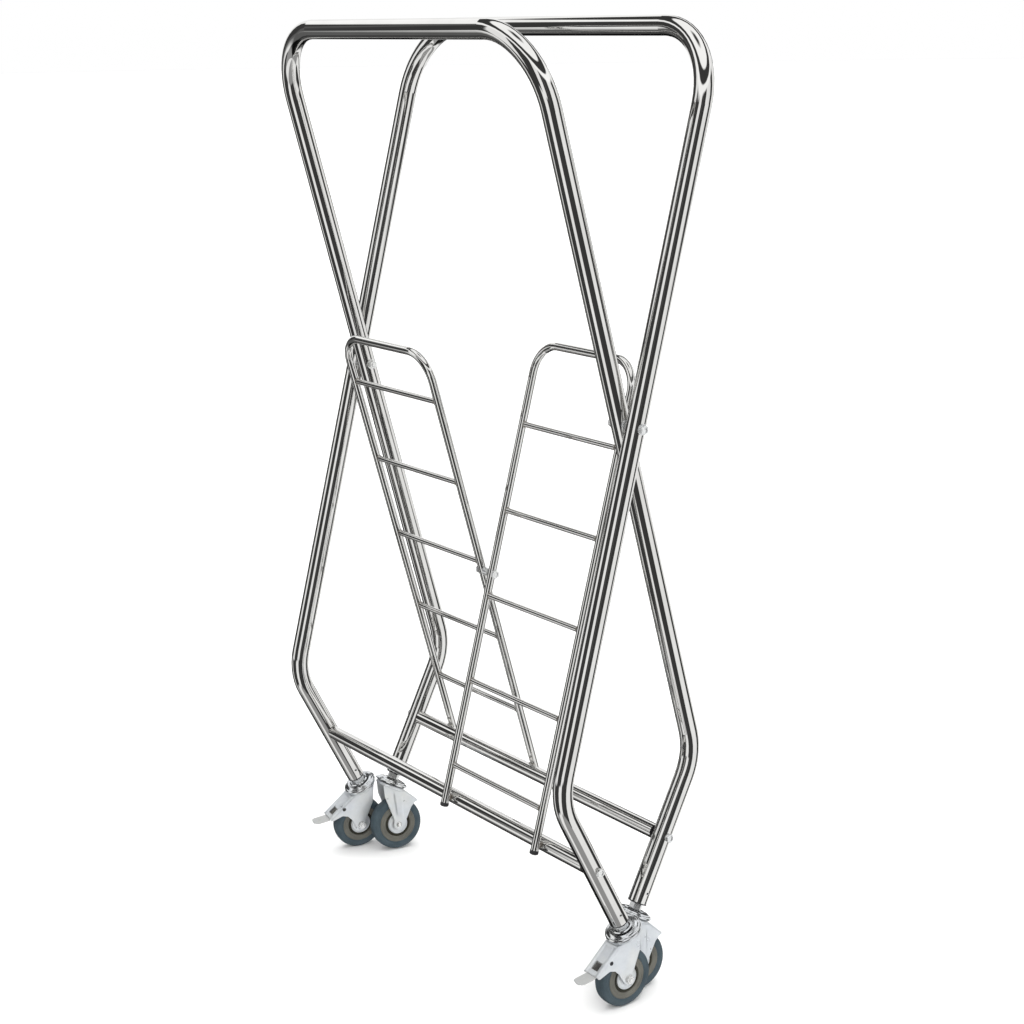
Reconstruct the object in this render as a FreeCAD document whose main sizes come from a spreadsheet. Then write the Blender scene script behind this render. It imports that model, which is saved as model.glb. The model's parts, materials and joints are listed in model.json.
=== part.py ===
import FreeCAD, Part
import math
import os

import Sketcher
from FreeCAD import Placement, Rotation, Vector

# Folding luggage cart with an X frame, stored folded.
#
# Two bent tube hoops cross side by side and turn on one bolt at each side. Each hoop
# carries a ladder rack, welded to a crossbar that turns on two bolts through the legs.
# The racks lie side by side and share one bolt at their middles, so they swing down
# and become the flat bed when the hoops open.
#
# Frame: X runs along the crossbars, Z is up, and Y is the way the hoops open. The floor
# is Z = 0, under the middle of the cart. "Front" is -Y, the side of the braked casters.
# The wide (outer) hoop has its feet in front, the narrow (inner) hoop has them behind.

DRIVING = [
    # hoops
    ("hoop_spacing", 800.0, "outer hoop, leg centre to leg centre"),
    ("tube_dia", 32.0, "hoop tube"),
    ("tube_wall", 1.5, "hoop tube wall"),
    ("leg_gap", 3.0, "between the legs where the hoops cross"),
    ("arm_length", 615.0, "hoop pivot to top bar centre"),
    ("shin_length", 592.0, "hoop pivot to knee corner"),
    ("foot_length", 262.0, "knee corner to the end of the tube"),
    ("arm_lean", 15.0, "lean of the straight legs when folded, degrees"),
    ("foot_lean", 27.0, "lean of the feet when folded, degrees"),
    ("corner_bend", 120.0, "bend radius of the top corners"),
    ("knee_bend", 110.0, "bend radius of the knees"),
    ("pivot_rise", 954.95, "hoop pivot above the floor"),
    # racks
    ("crossbar_drop", 146.0, "knee corner to crossbar centre"),
    ("crossbar_dia", 25.0, "crossbar tube"),
    ("crossbar_wall", 1.5, "crossbar tube wall"),
    ("rail_dia", 14.0, "rack rail tube"),
    ("rail_wall", 1.5, "rack rail tube wall"),
    ("rail_bend", 50.0, "bend radius of the rack corners"),
    ("rung_dia", 10.0, "rack rung"),
    ("rung_pitch", 150.0, "rung to rung"),
    ("rear_first_rung", 113.0, "rear crossbar to its nearest rung"),
    ("front_first_rung", 58.0, "front crossbar to its nearest rung"),
    ("rack_width", 258.0, "rail centre to rail centre"),
    ("rack_split", 27.0, "between the two racks, rail centre to rail centre"),
    ("rack_shift", 3.5, "racks off the middle of the cart"),
    ("rack_length", 798.0, "crossbar to the far end bar"),
    ("rack_tail", 15.0, "rail past its crossbar"),
    # casters
    ("wheel_dia", 100.0, "caster wheel"),
    ("tyre_width", 26.0, "tyre"),
    ("axle_drop", 92.0, "end of the leg down to the axle, along the stem"),
    ("trail", 39.0, "stem axis to the axle"),
    ("head_dia", 63.0, "swivel head"),
    ("plate", 2.5, "caster sheet steel"),
    # fasteners
    ("bolt_dia", 8.0, "every bolt and axle"),
    ("bolt_hex", 13.0, "across the flats of every bolt head and nut"),
    ("fit", 0.05, "radial clearance of a turning pin in its hole"),
]

RUNGS = 5
SWIVELS = {  # how far each caster is turned at rest, degrees
    "front_left": -11.0,
    "front_right": 0.0,
    "rear_left": -12.0,
    "rear_right": -6.0,
}

doc = FreeCAD.newDocument("luggage_cart")
sheet = doc.addObject("Spreadsheet::Sheet", "sizes")
nodes = []


class Size:
    """A length or angle that knows its value and the sheet formula it came from."""

    def __init__(self, value, text):
        self.value = value
        self.text = text

    def join(self, other, sign, result):
        text = other.text if isinstance(other, Size) else repr(float(other))
        return Size(result, "(%s %s %s)" % (self.text, sign, text))

    def __add__(self, other):
        return self.join(other, "+", self.value + number(other))

    def __sub__(self, other):
        return self.join(other, "-", self.value - number(other))

    def __mul__(self, other):
        return self.join(other, "*", self.value * number(other))

    def __truediv__(self, other):
        return self.join(other, "/", self.value / number(other))

    def __neg__(self):
        return Size(-self.value, "(-1 * %s)" % self.text)


def number(size):
    return size.value if isinstance(size, Size) else float(size)


def fixed(value):
    """A minor size that the sheet doesn't drive."""
    return Size(float(value), "%r" % float(value))


def fill_sheet():
    sizes = {}
    for row, (alias, value, meaning) in enumerate(DRIVING, start=1):
        sheet.set("A%d" % row, meaning)
        sheet.set("B%d" % row, "%g" % value)
        sheet.setAlias("B%d" % row, alias)
        sizes[alias] = Size(value, "sizes.%s" % alias)
    doc.recompute()
    return sizes


S = fill_sheet()


def bind(obj, **sizes):
    """Set each property of an object and tie it to the sheet."""
    for prop, size in sizes.items():
        setattr(obj, prop, number(size))
        if isinstance(size, Size) and "sizes." in size.text:
            obj.setExpression(prop, size.text)
    return obj


def node(obj, name):
    """Name an object as one piece of the cart."""
    obj.Label = name
    nodes.append(obj)
    return obj


# ---------------------------------------------------------------- simple solids


def turned(axis, angle):
    return Rotation(Vector(*axis), angle)


ALONG_X = turned((0, 1, 0), 90)


def cylinder(name, radius, height, base=(0, 0, 0), rotation=Rotation()):
    obj = bind(doc.addObject("Part::Cylinder", name), Radius=radius, Height=height)
    obj.Placement = Placement(Vector(*base), rotation)
    return obj


def bar_x(name, radius, x_from, x_to, y, z):
    """A round bar along X."""
    return cylinder(name, radius, x_to - x_from, (number(x_from), y, z), ALONG_X)


def hexagon(name, across_flats, height, base=(0, 0, 0), rotation=Rotation()):
    obj = doc.addObject("Part::Prism", name)
    obj.Polygon = 6
    bind(obj, Circumradius=across_flats / math.sqrt(3), Height=height)
    obj.Placement = Placement(Vector(*base), rotation)
    return obj


def cut(name, base, tool):
    obj = doc.addObject("Part::Cut", name)
    obj.Base = base
    obj.Tool = tool
    return obj


def fuse(name, *shapes):
    obj = doc.addObject("Part::MultiFuse", name)
    obj.Shapes = list(shapes)
    return obj


def group(name, *shapes):
    """Separate solids kept as one piece, such as a pair of bolts."""
    obj = doc.addObject("Part::Compound", name)
    obj.Links = list(shapes)
    return obj


def pipe_x(name, outer, inner, x_from, x_to, y, z):
    return cut(
        name,
        bar_x(name + "_outside", outer, x_from, x_to, y, z),
        bar_x(name + "_bore", inner, x_from - 1, x_to + 1, y, z),
    )


# ---------------------------------------------------------------- sketched bodies


def new_body(name):
    return doc.addObject("PartDesign::Body", name)


def origin_plane(body, role):
    return [part for part in body.Origin.OriginFeatures if part.Role == role][0]


def sketch_on(body, name, role):
    sketch = body.newObject("Sketcher::SketchObject", name)
    sketch.AttachmentSupport = (origin_plane(body, role), "")
    sketch.MapMode = "FlatFace"
    return sketch


def pin_point(sketch, edge, vertex, x, y):
    """Hold one sketch point at driven distances from the origin."""
    for kind, size in (("DistanceX", x), ("DistanceY", y)):
        value = number(size)
        index = sketch.addConstraint(Sketcher.Constraint(kind, -1, 1, edge, vertex, value))
        if isinstance(size, Size) and "sizes." in size.text:
            sketch.setExpression("Constraints[%d]" % index, size.text)


def outline(sketch, points):
    """A closed outline of straight edges through driven points."""
    spots = [Vector(number(x), number(y), 0) for x, y in points]
    first = sketch.GeometryCount
    count = len(spots)
    for i, spot in enumerate(spots):
        sketch.addGeometry(Part.LineSegment(spot, spots[(i + 1) % count]))
    for i in range(count):
        following = first + (i + 1) % count
        sketch.addConstraint(Sketcher.Constraint("Coincident", first + i, 2, following, 1))
    for i, (x, y) in enumerate(points):
        pin_point(sketch, first + i, 1, x, y)


def circle(sketch, x, y, radius):
    index = sketch.addGeometry(
        Part.Circle(Vector(number(x), number(y), 0), Vector(0, 0, 1), number(radius))
    )
    pin_point(sketch, index, 3, x, y)
    row = sketch.addConstraint(Sketcher.Constraint("Radius", index, number(radius)))
    if isinstance(radius, Size) and "sizes." in radius.text:
        sketch.setExpression("Constraints[%d]" % row, radius.text)


def pad(body, sketch, length, middle=True, name="Pad"):
    feature = body.newObject("PartDesign::Pad", name)
    feature.Profile = sketch
    bind(feature, Length=length)
    feature.Midplane = middle
    sketch.Visibility = False
    doc.recompute()
    return feature


def pocket(body, sketch, length, middle=True, name="Pocket"):
    feature = body.newObject("PartDesign::Pocket", name)
    feature.Profile = sketch
    bind(feature, Length=length)
    feature.Midplane = middle
    sketch.Visibility = False
    doc.recompute()
    return feature


def revolve(body, sketch, about, name="Revolution"):
    """Spin a profile about the body's own X, Y or Z axis."""
    feature = body.newObject("PartDesign::Revolution", name)
    feature.Profile = sketch
    feature.ReferenceAxis = (origin_plane(body, about), [""])
    feature.Angle = 360.0
    sketch.Visibility = False
    doc.recompute()
    return feature


def round_edges(body, feature, radius, wanted, name="Fillet"):
    """Round the edges of a feature that a test picks out."""
    edges = [
        "Edge%d" % (i + 1)
        for i, edge in enumerate(feature.Shape.Edges)
        if len(edge.Vertexes) == 2 and wanted(edge)
    ]
    fillet = body.newObject("PartDesign::Fillet", name)
    fillet.Base = (feature, edges)
    bind(fillet, Radius=radius)
    doc.recompute()
    return fillet


# ---------------------------------------------------------------- bent tubes


def rounded_path(points, radii):
    """A wire through corner points, with an arc of its own radius at each corner."""
    edges = []
    start = points[0]
    for corner, after, radius in zip(points[1:-1], points[2:], radii):
        back = (start - corner).normalize()
        ahead = (after - corner).normalize()
        half = back.getAngle(ahead) / 2
        reach = radius / math.tan(half)
        middle = (back + ahead).normalize() * (radius / math.sin(half) - radius)
        edges.append(Part.makeLine(start, corner + back * reach))
        edges.append(
            Part.Arc(corner + back * reach, corner + middle, corner + ahead * reach).toShape()
        )
        start = corner + ahead * reach
    edges.append(Part.makeLine(start, points[-1]))
    return Part.Wire(edges)


def swept(path, radius):
    first = path.Edges[0]
    direction = first.tangentAt(first.FirstParameter)
    ring = Part.Wire(Part.makeCircle(radius, path.Vertexes[0].Point, direction))
    return path.makePipeShell([ring], True, False)


def bent_tube(name, points, radii, outer, inner):
    """A tube whose bends lie in more than one plane, which no one sketch can hold."""
    path = rounded_path(points, radii)
    obj = doc.addObject("Part::Feature", name)
    obj.Shape = swept(path, number(outer)).cut(swept(path, number(inner)))
    obj.Placement = Placement()
    return obj


# ---------------------------------------------------------------- frame geometry

ARM = math.radians(number(S["arm_lean"]))
FOOT = math.radians(number(S["foot_lean"]))
PIVOT_Z = number(S["pivot_rise"])
TUBE = S["tube_dia"] / 2
OUTER_X = S["hoop_spacing"] / 2
INNER_X = OUTER_X - S["tube_dia"] - S["leg_gap"]


def along_leg(side, distance):
    """A point on a hoop's leg in the YZ plane, measured down from the knee corner."""
    knee = number(S["shin_length"])
    y = -knee * math.sin(ARM) + distance * math.sin(FOOT)
    z = -knee * math.cos(ARM) - distance * math.cos(FOOT)
    return side * y, PIVOT_Z + z


def top_bar(side):
    reach = number(S["arm_length"])
    return side * reach * math.sin(ARM), PIVOT_Z + reach * math.cos(ARM)


def hoop(name, side, half_width):
    """One hoop; side is +1 when its feet are in front and its top bar is behind."""
    x = number(half_width)
    end = along_leg(side, number(S["foot_length"]))
    knee = along_leg(side, 0.0)
    top = top_bar(side)
    corner = number(S["corner_bend"])
    bend = number(S["knee_bend"])
    left = [Vector(-x, *spot) for spot in (end, knee, top)]
    right = [Vector(x, *spot) for spot in (top, knee, end)]
    tube = bent_tube(
        name + "_bent", left + right, (bend, corner, corner, bend), TUBE, TUBE - S["tube_wall"]
    )
    hole = S["bolt_dia"] / 2 + S["fit"]
    reach = half_width + TUBE + 5
    bar_y, bar_z = along_leg(side, number(S["crossbar_drop"]))
    holes = group(
        name + "_holes",
        bar_x(name + "_pivot_hole", hole, -reach, reach, 0, PIVOT_Z),
        bar_x(name + "_crossbar_hole", hole, -reach, reach, bar_y, bar_z),
    )
    return node(cut(name, tube, holes), name)


def bolt_x(name, side, x_head, x_tip, y, z):
    """A hex bolt along X, its head at x_head and its shank ending at x_tip."""
    shank_from, shank_to = (x_tip, x_head) if side > 0 else (x_head, x_tip)
    head = S["bolt_dia"] * 0.65
    head_from = x_head if side > 0 else x_head - head
    return fuse(
        name,
        bar_x(name + "_shank", S["bolt_dia"] / 2, shank_from, shank_to, y, z),
        hexagon(name + "_head", S["bolt_hex"], head, (number(head_from), y, z), ALONG_X),
    )


def ring_x(name, outer, thickness, x_from, y, z):
    return pipe_x(name, outer, S["bolt_dia"] / 2 + S["fit"], x_from, x_from + thickness, y, z)


def hoop_pivots():
    """The bolt, nut and washers at each side where the hoops cross."""
    bolts, nuts, washers = [], [], []
    air = 0.3
    face = OUTER_X + TUBE + air
    inside = INNER_X - TUBE - air
    thick = 1.5
    spacer = S["leg_gap"] - 2 * air
    for side, tag in ((-1, "left"), (1, "right")):
        head_at = (face + thick) * side
        tip_at = (inside - thick - 9) * side
        bolts.append(bolt_x("pivot_bolt_" + tag, side, head_at, tip_at, 0, PIVOT_Z))
        nut_size = fixed(6.8)
        low = inside - thick - nut_size if side > 0 else -(inside - thick)
        nut = hexagon(
            "pivot_nut_body_" + tag, S["bolt_hex"], nut_size, (number(low), 0, PIVOT_Z), ALONG_X
        )
        bore = bar_x(
            "pivot_nut_bore_" + tag, S["bolt_dia"] / 2, low - 1, low + nut_size + 1, 0, PIVOT_Z
        )
        nuts.append(cut("pivot_nut_" + tag, nut, bore))
        places = (
            (face, thick, 8.5),
            (INNER_X + TUBE + air, spacer, 12),
            (inside - thick, thick, 8.5),
        )
        for number_of, (near, deep, radius) in enumerate(places):
            start = near if side > 0 else -(near + deep)
            washers.append(
                ring_x(
                    "pivot_washer_%s_%d" % (tag, number_of),
                    fixed(radius),
                    deep if isinstance(deep, Size) else fixed(deep),
                    start,
                    0,
                    PIVOT_Z,
                )
            )
    node(group("pivot_bolts", *bolts), "pivot_bolts")
    node(group("pivot_nuts", *nuts), "pivot_nuts")
    node(group("pivot_washers", *washers), "pivot_washers")


# ---------------------------------------------------------------- racks


def rack_lean():
    """Lean of a folded rack, so that both racks cross in the middle of the cart."""
    bar_y, _ = along_leg(1, number(S["crossbar_drop"]))
    swing = rack_middle()
    lap = number(S["crossbar_dia"] + S["rail_dia"]) / 2
    return math.asin(abs(bar_y) / math.hypot(swing, lap)) + math.atan2(lap, swing)


def rack_middle():
    """Crossbar to the bolt the racks share, so that the opened bed is flat."""
    bar_y, bar_z = along_leg(1, number(S["crossbar_drop"]))
    down = PIVOT_Z - bar_z
    opened = math.atan2(abs(bar_y), down) + FOOT
    return math.hypot(bar_y, down) * math.sin(opened)


def rack_frame(side):
    """A rack's own frame: origin at its crossbar, Y across the lap, Z up along the rails."""
    bar_y, bar_z = along_leg(side, number(S["crossbar_drop"]))
    turn = -side * math.degrees(rack_lean())
    return Placement(Vector(0, bar_y, bar_z), turned((1, 0, 0), turn))


def placed(frame, *objects):
    for obj in objects:
        obj.Placement = frame.multiply(obj.Placement)


def rail_path(body, x_from, x_to, offset):
    """The U of a rack, sketched flat in the rack's own plane."""
    spine = body.newObject("Sketcher::SketchObject", body.Name + "_spine")
    spine.AttachmentSupport = (origin_plane(body, "XZ_Plane"), "")
    spine.MapMode = "FlatFace"
    spine.AttachmentOffset = Placement(Vector(0, 0, -offset), Rotation())
    low = -S["rack_tail"]
    high = S["rack_length"]
    r = S["rail_bend"]
    x0, x1, z0, z1, bend = (number(v) for v in (x_from, x_to, low, high, r))
    lines = [
        (Vector(x0, z0, 0), Vector(x0, z1 - bend, 0)),
        (Vector(x0 + bend, z1, 0), Vector(x1 - bend, z1, 0)),
        (Vector(x1, z1 - bend, 0), Vector(x1, z0, 0)),
    ]
    for start, end in lines:
        spine.addGeometry(Part.LineSegment(start, end))
    arcs = [
        (Vector(x0 + bend, z1 - bend, 0), math.pi / 2, math.pi),
        (Vector(x1 - bend, z1 - bend, 0), 0, math.pi / 2),
    ]
    for centre, start, end in arcs:
        full = Part.Circle(centre, Vector(0, 0, 1), bend)
        spine.addGeometry(Part.ArcOfCircle(full, start, end))
    for pair in ((0, 2, 3, 2), (3, 1, 1, 1), (1, 2, 4, 2), (4, 1, 2, 1)):
        spine.addConstraint(Sketcher.Constraint("Tangent", *pair))
    pin_point(spine, 0, 1, x_from, low)
    pin_point(spine, 2, 2, x_to, low)
    spine.addConstraint(Sketcher.Constraint("Vertical", 0))
    spine.addConstraint(Sketcher.Constraint("Vertical", 2))
    spine.addConstraint(Sketcher.Constraint("Horizontal", 1))
    row = spine.addConstraint(Sketcher.Constraint("Radius", 3, bend))
    spine.setExpression("Constraints[%d]" % row, r.text)
    row = spine.addConstraint(Sketcher.Constraint("DistanceY", -1, 1, 1, 1, z1))
    spine.setExpression("Constraints[%d]" % row, high.text)
    spine.Visibility = False
    return spine


def rails(name, x_from, x_to, offset):
    """A rack's side rails and end bar: one tube bent into a U."""
    body = new_body(name)
    spine = rail_path(body, x_from, x_to, offset)
    ring = body.newObject("Sketcher::SketchObject", name + "_section")
    ring.AttachmentSupport = (origin_plane(body, "XY_Plane"), "")
    ring.MapMode = "FlatFace"
    ring.AttachmentOffset = Placement(Vector(0, 0, -number(S["rack_tail"])), Rotation())
    circle(ring, x_from, fixed(offset), S["rail_dia"] / 2)
    circle(ring, x_from, fixed(offset), S["rail_dia"] / 2 - S["rail_wall"])
    doc.recompute()
    pipe = body.newObject("PartDesign::AdditivePipe", name + "_tube")
    pipe.Profile = ring
    pipe.Spine = (spine, [""])
    ring.Visibility = False
    doc.recompute()
    return body


def rack(name, side, x_from, x_to, first_rung, half_width):
    """A crossbar with its ladder rack; side is +1 for the front crossbar."""
    frame = rack_frame(side)
    lap = number(S["crossbar_dia"] + S["rail_dia"]) / 2 * -side
    leg_face = half_width - TUBE - 1
    bar = pipe_x(
        name + "_crossbar",
        S["crossbar_dia"] / 2,
        S["crossbar_dia"] / 2 - S["crossbar_wall"],
        -leg_face,
        leg_face,
        0,
        0,
    )
    rungs = rung_bars(name + "_rung", x_from, x_to, lap, first_rung)
    sockets = rung_bars(name + "_socket", x_from, x_to, lap, first_rung)
    joint_x = x_from if side > 0 else x_to
    tube_r = S["rail_dia"] / 2
    bolt_hole = bar_x(
        name + "_bolt_hole",
        S["bolt_dia"] / 2,
        joint_x - tube_r - 1,
        joint_x + tube_r + 1,
        lap,
        rack_middle(),
    )
    tube = cut(
        name + "_rails_drilled",
        rails(name + "_rails_tube", x_from, x_to, lap),
        group(name + "_sockets", bolt_hole, *sockets),
    )
    plugs = [rail_plug("%s_plug_%d" % (name, i), x, lap) for i, x in enumerate((x_from, x_to))]
    ends, bolts = [], []
    reach = half_width + TUBE + 0.3
    for mark, tag in ((-1, "left"), (1, "right")):
        inner = leg_face - 20
        start = inner if mark > 0 else -leg_face
        ends.append(
            cut(
                "%s_end_%s" % (name, tag),
                bar_x(
                    "%s_end_body_%s" % (name, tag),
                    S["crossbar_dia"] / 2 - S["crossbar_wall"],
                    start,
                    start + 20,
                    0,
                    0,
                ),
                bar_x(
                    "%s_end_bore_%s" % (name, tag), S["bolt_dia"] / 2, start - 1, start + 21, 0, 0
                ),
            )
        )
        bolts.append(
            bolt_x("%s_bolt_%s" % (name, tag), mark, reach * mark, (leg_face - 16) * mark, 0, 0)
        )
    parts = {
        "crossbar": bar,
        "rails": tube,
        "rungs": group(name + "_rungs", *rungs),
        "plugs": group(name + "_plugs", *plugs),
        "crossbar_ends": group(name + "_crossbar_ends", *ends),
        "crossbar_bolts": group(name + "_crossbar_bolts", *bolts),
    }
    placed(frame, *parts.values())
    for part, obj in parts.items():
        node(obj, "%s_%s" % (name, part))
    rack_joint(side, joint_x)


def rung_bars(name, x_from, x_to, lap, first_rung):
    """The bars across a rack, each let into a hole in the inner wall of both rails."""
    inset = S["rail_dia"] / 2 - S["rail_wall"] - 2
    return [
        bar_x(
            "%s_%d" % (name, i),
            S["rung_dia"] / 2,
            x_from + inset,
            x_to - inset,
            lap,
            number(first_rung + S["rung_pitch"] * i),
        )
        for i in range(RUNGS)
    ]


def rail_plug(name, x, lap):
    """A rubber plug that closes the foot of a rail."""
    bottom = -number(S["rack_tail"])
    inside = cylinder(
        name + "_stem", S["rail_dia"] / 2 - S["rail_wall"], 10, (number(x), lap, bottom)
    )
    cap = cylinder(name + "_cap", S["rail_dia"] / 2, 3, (number(x), lap, bottom - 3))
    return fuse(name, inside, cap)


def rack_joint(side, x_rail):
    """One half of the bolt that joins the racks, so that either rack can carry its own."""
    frame = rack_frame(side)
    lap = number(S["crossbar_dia"] + S["rail_dia"]) / 2 * -side
    tube_r = S["rail_dia"] / 2
    middle = rack_middle()
    parting = S["rack_shift"] + S["rack_split"] / 2 - tube_r - 0.5
    air = 0.1
    if side > 0:
        half = bolt_x(
            "rack_bolt_end", 1, x_rail + tube_r + air, parting + 0.2, lap, middle
        )
        placed(frame, half)
        node(half, "rack_bolt_nut")
        return
    half = bolt_x("rack_bolt_half", -1, x_rail - tube_r - air, parting - 0.2, lap, middle)
    spacer = pipe_x(
        "rack_spacer",
        fixed(7),
        S["bolt_dia"] / 2,
        x_rail + tube_r,
        parting - 0.2,
        lap,
        middle,
    )
    placed(frame, half, spacer)
    node(half, "rack_bolt")
    node(spacer, "rack_spacer")


# ---------------------------------------------------------------- casters


def caster_frame(side, half_width, swivel):
    """Origin at the end of the leg, Z up the stem, the wheel trailing towards -Y."""
    y, z = along_leg(side, number(S["foot_length"]))
    tilt = turned((1, 0, 0), number(S["foot_lean"])).multiply(turned((0, 0, 1), swivel))
    if side < 0:
        tilt = turned((0, 0, 1), 180).multiply(tilt)
    return Placement(Vector(number(half_width), y, z), tilt)


WHEEL = S["wheel_dia"] / 2
GAP_X = S["tyre_width"] / 2 + 3
FORK_X = GAP_X + S["plate"]
CROWN_Z = -27.0
HEAD = S["head_dia"] / 2


def leg_insert(name):
    """The plug inside the leg that grips the caster's stem."""
    body = cylinder(name + "_body", TUBE - S["tube_wall"], 40, (0, 0, 0))
    flange = cylinder(name + "_flange", TUBE, 2, (0, 0, -2))
    bore = cylinder(name + "_bore", 6, 60, (0, 0, -10))
    return cut(name, fuse(name + "_solid", body, flange), bore)


def stem(name):
    """The caster's pin, its hex collar, and the riveted end under the fork."""
    pin = cylinder(name + "_pin", 6, 35 + 36, (0, 0, -36))
    collar = hexagon(name + "_collar", fixed(19), 10, (0, 0, -12))
    rivet = cylinder(name + "_rivet", 10, 3.5, (0, 0, -36))
    return fuse(name, pin, collar, rivet)


def swivel_head(name):
    """The domed upper race, pressed onto the stem."""
    body = new_body(name)
    profile = sketch_on(body, name + "_profile", "XZ_Plane")
    outline(
        profile,
        [
            (fixed(6), fixed(-12)),
            (fixed(17), fixed(-12)),
            (HEAD - 7, fixed(-14)),
            (HEAD - 2.5, fixed(-16.5)),
            (HEAD, fixed(-19.5)),
            (HEAD, fixed(-22)),
            (HEAD - 1.5, fixed(-22)),
            (HEAD - 2, fixed(-19.5)),
            (HEAD - 5, fixed(-18)),
            (fixed(6), fixed(-18)),
        ],
    )
    revolve(body, profile, "Z_Axis")
    return body


def ball_race(name):
    """The ring of bearing balls between the swivel head and the fork."""
    count, ring, radius = 12, 17.0, 4.0
    balls = []
    for i in range(count):
        angle = 2 * math.pi * i / count
        ball = bind(doc.addObject("Part::Sphere", "%s_%d" % (name, i)), Radius=fixed(radius))
        ball.Placement.Base = Vector(ring * math.cos(angle), ring * math.sin(angle), -22.4)
        balls.append(ball)
    return group(name, *balls)


def fork_side(braked):
    """Side view of a fork as (y, z) points, from the front of the crown round the axle."""
    y0 = -S["trail"]
    z0 = -S["axle_drop"]
    crown = fixed(CROWN_Z)
    if braked:
        front = [(fixed(20), crown), (fixed(18), crown - 4), (fixed(1), fixed(-62))]
    else:
        front = [(fixed(21), crown), (fixed(20), crown - 5), (fixed(10), fixed(-50))]
    front += [(y0 + 11, z0 + 4), (y0 + 9, z0 - 6)]
    boss = [(y0 + 5, z0 - 10.5), (y0 - 2, z0 - 12), (y0 - 8, z0 - 9), (y0 - 11.5, z0 + 2)]
    if braked:
        back = [
            (y0 - 12, z0 + 22),
            (y0 - 15, z0 + 34),
            (y0 - 23, z0 + 42),
            (y0 - 46, z0 + 44),
            (y0 - 48, z0 + 50),
            (-HEAD + 2, crown),
        ]
    else:
        back = [(y0 - 9, z0 + 20), (y0 - 6, z0 + 45), (y0 - 18, z0 + 58), (-HEAD + 2, crown)]
    return front + boss + back


def fork_inside(braked):
    """Side view of the space inside a fork, which leaves the crown as a plate."""
    low = -S["axle_drop"] - 30
    under = fixed(CROWN_Z) - S["plate"]
    far = -S["trail"] - 70
    if braked:
        slope = [(-HEAD + 1.5, under), (far, under - 20.5)]
    else:
        slope = [(far, under)]
    return [(HEAD, under)] + slope + [(far, low), (HEAD, low)]


def fork(name, braked):
    """The pressed steel fork; the braked one reaches back over the wheel as a housing."""
    body = new_body(name)
    side_view = sketch_on(body, name + "_side", "YZ_Plane")
    outline(side_view, fork_side(braked))
    pad(body, side_view, FORK_X * 2, name=name + "_block")
    inside = sketch_on(body, name + "_inside", "YZ_Plane")
    outline(inside, fork_inside(braked))
    pocket(body, inside, GAP_X * 2, name=name + "_channel")
    under = CROWN_Z - number(S["plate"])
    for part, base, depth in (("crown", under, S["plate"]), ("cup", CROWN_Z, fixed(3.5))):
        ring = sketch_on(body, "%s_%s_outline" % (name, part), "XY_Plane")
        ring.AttachmentOffset = Placement(Vector(0, 0, base), Rotation())
        circle(ring, fixed(0), fixed(0), HEAD - 3)
        if part == "cup":
            circle(ring, fixed(0), fixed(0), HEAD - 8)
        pad(body, ring, depth, middle=False, name="%s_%s" % (name, part))
    holes = sketch_on(body, name + "_bores", "YZ_Plane")
    circle(holes, -S["trail"], -S["axle_drop"], S["bolt_dia"] / 2)
    if braked:
        circle(holes, *brake_axis(), fixed(2))
    pocket(body, holes, FORK_X * 4, name=name + "_axle_holes")
    eye = sketch_on(body, name + "_eye", "XY_Plane")
    circle(eye, fixed(0), fixed(0), fixed(6) + S["fit"])
    pocket(body, eye, fixed(80), name=name + "_stem_hole")
    if braked:
        window = sketch_on(body, name + "_window_outline", "XY_Plane")
        near, far = -S["trail"] - 26, -S["trail"] - 38
        outline(window, [(-7, near), (7, near), (7, far), (-7, far)])
        pocket(body, window, fixed(120), name=name + "_window")
    return body


def brake_axis():
    return -S["trail"] - 15, -S["axle_drop"] + 51.8


def brake_pin(name):
    y, z = (number(v) for v in brake_axis())
    reach = FORK_X + 1.2
    return bar_x(name, fixed(2) - S["fit"], -reach, reach, y, z)


def pedal(name):
    """The foot lever: an eye on the brake pin and a plate that bends up past the housing."""
    body = new_body(name)
    y, z = brake_axis()
    width = S["tyre_width"] - 2
    eye = sketch_on(body, name + "_eye", "YZ_Plane")
    circle(eye, y, z, fixed(3.5))
    pad(body, eye, width, name=name + "_barrel")
    side_view = sketch_on(body, name + "_side", "YZ_Plane")
    outline(
        side_view,
        [
            (y, z + 2.8),
            (y - 6, z + 1.4),
            (y - 33, z - 5.7),
            (y - 61, z + 4.3),
            (y - 62, z + 1.5),
            (y - 33.5, z - 8.6),
            (y - 6, z - 1.4),
            (y, z - 1.5),
        ],
    )
    plate = pad(body, side_view, width, name=name + "_plate")
    half = number(width) / 2
    tip = number(y) - 60.5
    round_edges(body, plate, fixed(7), lambda edge: is_tip(edge, half, tip), name + "_corners")
    bore = sketch_on(body, name + "_bore", "YZ_Plane")
    circle(bore, y, z, fixed(2))
    pocket(body, bore, fixed(60), name=name + "_pin_hole")
    return body


def is_tip(edge, half, tip):
    """True for an upright edge at an outer corner of the pedal."""
    first, last = (vertex.Point for vertex in edge.Vertexes)
    at_side = abs(abs(first.x) - half) < 0.01 and abs(first.x - last.x) < 0.01
    return at_side and max(first.y, last.y) < tip


def shoe(name):
    """The rubber block under the lever, which the lever presses onto the tyre."""
    body = new_body(name)
    y, z = brake_axis()
    side_view = sketch_on(body, name + "_side", "YZ_Plane")
    corners = [(y - 11, z - 2.72), (y - 31, z - 7.95), (y - 30, z - 14), (y - 12, z - 6)]
    outline(side_view, corners)
    pad(body, side_view, S["tyre_width"] - 6, name=name + "_block")
    return body


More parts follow.
